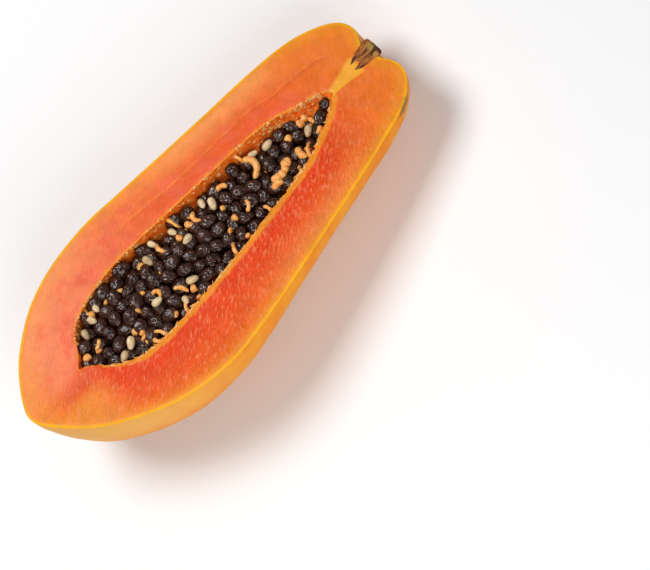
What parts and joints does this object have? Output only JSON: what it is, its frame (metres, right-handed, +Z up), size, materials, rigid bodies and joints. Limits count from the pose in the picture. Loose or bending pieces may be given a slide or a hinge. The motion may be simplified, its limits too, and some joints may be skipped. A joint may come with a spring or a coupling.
{
  "type": "halved papaya",
  "caption": "Ripe papaya cut in half lengthwise and lying on its back, with a filled seed cavity, salmon-orange flesh, yellow skin and a dried stem stub",
  "frame": {"origin": "Centre of the footprint of the box round the whole half, on the surface that it lies on", "axes": "+X runs along the fruit from the blossom end to the stem end, +Y to the left of the cut face seen with the stem end up, +Z up; the cut face looks up and leans 7.8 degrees towards the stem"},
  "size_m": [0.228, 0.1038, 0.0641],
  "materials": {
    "papaya_flesh": "ripe papaya, moist orange flesh on the cut face and satin golden skin on the back",
    "papaya_seed": "black-brown seeds in a thin wet skin, wrinkled lengthwise",
    "dried_stem": "dry, fibrous brown fruit stalk, dull"
  },
  "bodies": {
    "root": {"flesh": "papaya_flesh", "seeds": "papaya_seed", "stem": "dried_stem"}
  },
  "joints": []
}
